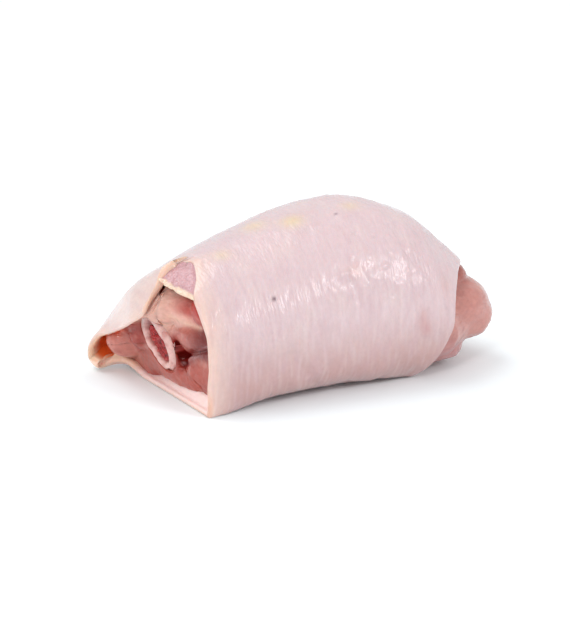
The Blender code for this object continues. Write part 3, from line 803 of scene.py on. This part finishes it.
def material(name, roughness, coat, subsurface, radius, bumps, mottle=0.0, specular=0.5):
    """A wet surface: its tint, small uneven patches of roughness, and fine bumps.

    bumps holds (cells per millimetre along x, y and z, height in millimetres, detail).
    """
    made = bpy.data.materials.new(name)
    made.use_nodes = True
    tree = made.node_tree
    shader = tree.nodes["Principled BSDF"]
    shader.inputs["Metallic"].default_value = 0
    shader.inputs["IOR"].default_value = 1.4
    shader.inputs["Specular IOR Level"].default_value = specular
    shader.inputs["Coat Weight"].default_value = coat[0]
    shader.inputs["Coat Roughness"].default_value = coat[1]
    shader.inputs["Coat IOR"].default_value = 1.45
    shader.inputs["Subsurface Weight"].default_value = subsurface
    shader.inputs["Subsurface Radius"].default_value = (1.0, 0.45, 0.3)
    shader.inputs["Subsurface Scale"].default_value = radius * MM
    tint = tree.nodes.new("ShaderNodeVertexColor")
    tint.layer_name = "tint"
    place = tree.nodes.new("ShaderNodeTexCoord")
    speckle = tree.nodes.new("ShaderNodeTexNoise")
    speckle.inputs["Scale"].default_value = 900
    speckle.inputs["Detail"].default_value = 3
    tree.links.new(place.outputs["Object"], speckle.inputs["Vector"])
    level = tree.nodes.new("ShaderNodeMapRange")
    level.inputs["From Min"].default_value = 0.3
    level.inputs["From Max"].default_value = 0.7
    level.inputs["To Min"].default_value = 1 - mottle
    level.inputs["To Max"].default_value = 1 + mottle * 0.4
    tree.links.new(speckle.outputs["Fac"], level.inputs["Value"])
    shade = tree.nodes.new("ShaderNodeVectorMath")
    shade.operation = "SCALE"
    tree.links.new(tint.outputs["Color"], shade.inputs[0])
    tree.links.new(level.outputs["Result"], shade.inputs["Scale"])
    tree.links.new(shade.outputs["Vector"], shader.inputs["Base Color"])
    dull = tree.nodes.new("ShaderNodeTexNoise")
    dull.inputs["Scale"].default_value = 260
    dull.inputs["Detail"].default_value = 2
    tree.links.new(place.outputs["Object"], dull.inputs["Vector"])
    gloss = tree.nodes.new("ShaderNodeMapRange")
    gloss.inputs["From Min"].default_value = 0.3
    gloss.inputs["From Max"].default_value = 0.7
    gloss.inputs["To Min"].default_value = roughness[0]
    gloss.inputs["To Max"].default_value = roughness[1]
    tree.links.new(dull.outputs["Fac"], gloss.inputs["Value"])
    tree.links.new(gloss.outputs["Result"], shader.inputs["Roughness"])
    last = None
    for cells, height, detail in bumps:
        stretch = tree.nodes.new("ShaderNodeMapping")
        stretch.inputs["Scale"].default_value = [c / MM for c in cells]
        tree.links.new(place.outputs["Object"], stretch.inputs["Vector"])
        relief = tree.nodes.new("ShaderNodeTexNoise")
        relief.inputs["Scale"].default_value = 1
        relief.inputs["Detail"].default_value = detail
        tree.links.new(stretch.outputs["Vector"], relief.inputs["Vector"])
        bump = tree.nodes.new("ShaderNodeBump")
        bump.inputs["Strength"].default_value = 1
        bump.inputs["Distance"].default_value = height * MM
        tree.links.new(relief.outputs["Fac"], bump.inputs["Height"])
        if last:
            tree.links.new(last.outputs["Normal"], bump.inputs["Normal"])
        last = bump
    if last:
        tree.links.new(last.outputs["Normal"], shader.inputs["Normal"])
        tree.links.new(last.outputs["Normal"], shader.inputs["Coat Normal"])
    return made


def dress(piece, node, surface):
    piece.data.materials.clear()
    piece.data.materials.append(surface)
    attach(piece, "root")
    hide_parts(node)


# Stage

CAMERA_TARGET = Vector((-12.41, -16.27, 22.56)) * MM
CAMERA_DISTANCE = 0.4888
CAMERA_TURN, CAMERA_RISE = radians(-26), radians(18)
FLOOR_HALF = 20.0


def aim(obj, target):
    obj.rotation_euler = (target - obj.location).to_track_quat("-Z", "Y").to_euler()


def add_stage():
    scene = bpy.context.scene
    camera = bpy.data.cameras.new("camera")
    camera.lens = 100
    camera.sensor_width = 36
    seen = bpy.data.objects.new("camera", camera)
    scene.collection.objects.link(seen)
    back = Vector((
        np.sin(CAMERA_TURN) * np.cos(CAMERA_RISE),
        -np.cos(CAMERA_TURN) * np.cos(CAMERA_RISE),
        np.sin(CAMERA_RISE),
    ))
    seen.location = CAMERA_TARGET + back * CAMERA_DISTANCE
    aim(seen, CAMERA_TARGET)
    camera.clip_start = 0.01
    scene.camera = seen

    mesh = bpy.data.meshes.new("floor")
    corners = [(x * FLOOR_HALF, y * FLOOR_HALF, 0) for x, y in ((-1, -1), (1, -1), (1, 1), (-1, 1))]
    mesh.from_pydata(corners, [], [(0, 1, 2, 3)])
    floor = bpy.data.objects.new("floor", mesh)
    scene.collection.objects.link(floor)
    white = bpy.data.materials.new("floor_white")
    white.use_nodes = True
    shader = white.node_tree.nodes["Principled BSDF"]
    shader.inputs["Base Color"].default_value = (0.90, 0.955, 0.975, 1)
    shader.inputs["Roughness"].default_value = 0.9
    mesh.materials.append(white)

    world = bpy.data.worlds.new("studio")
    world.use_nodes = True
    sky = world.node_tree.nodes["Background"]
    sky.inputs["Color"].default_value = (0.985, 0.99, 1.0, 1)
    sky.inputs["Strength"].default_value = 0.80
    scene.world = world

    top = bpy.data.lights.new("top", "SUN")
    top.energy = 1.1
    top.angle = radians(42)
    made = bpy.data.objects.new("top", top)
    made.location = (-0.42, 0.45, 1.0)
    aim(made, Vector((0, 0, 0)))
    scene.collection.objects.link(made)

    for name, place, power, size in (
        ("softbox", (0.42, -0.72, 0.55), 2.3, 0.30),
        ("window", (-0.75, -0.62, 0.55), 2.2, 0.16),
    ):
        light = bpy.data.lights.new(name, "AREA")
        light.shape = "DISK"
        light.energy = power
        light.size = size
        made = bpy.data.objects.new(name, light)
        made.location = place
        aim(made, Vector((0, 0, 0.02)))
        scene.collection.objects.link(made)
    scene.view_settings.view_transform = "Standard"


def main():
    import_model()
    add_stage()
    crepe = (((1.5, 0.42, 0.42), 0.16, 2),)
    grain = (((0.35, 1.5, 1.5), 0.13, 2),)
    dress(add_skin(), "skin", material("skin", (0.34, 0.5), (0.85, 0.19), 0.22, 1.6, crepe, 0.04))
    dress(add_meat(), "meat", material("meat", (0.34, 0.5), (0.9, 0.10), 0.30, 2.0, grain, 0.10, 0.2))
    pores = (((1.5, 1.5, 1.5), 0.30, 4),)
    dress(add_bone(), "bone", material("bone", (0.28, 0.45), (0.5, 0.12), 0.25, 1.2, pores, 0.10))
    dress(add_marrow(), "marrow", material("marrow", (0.22, 0.42), (0.5, 0.12), 0.15, 0.8, pores, 0.25))
    film = (((1.2, 1.2, 1.2), 0.30, 3),)
    dress(add_membrane(), "membrane", material("membrane", (0.14, 0.26), (0.8, 0.06), 0.3, 1.2, film, 0.08))


main()
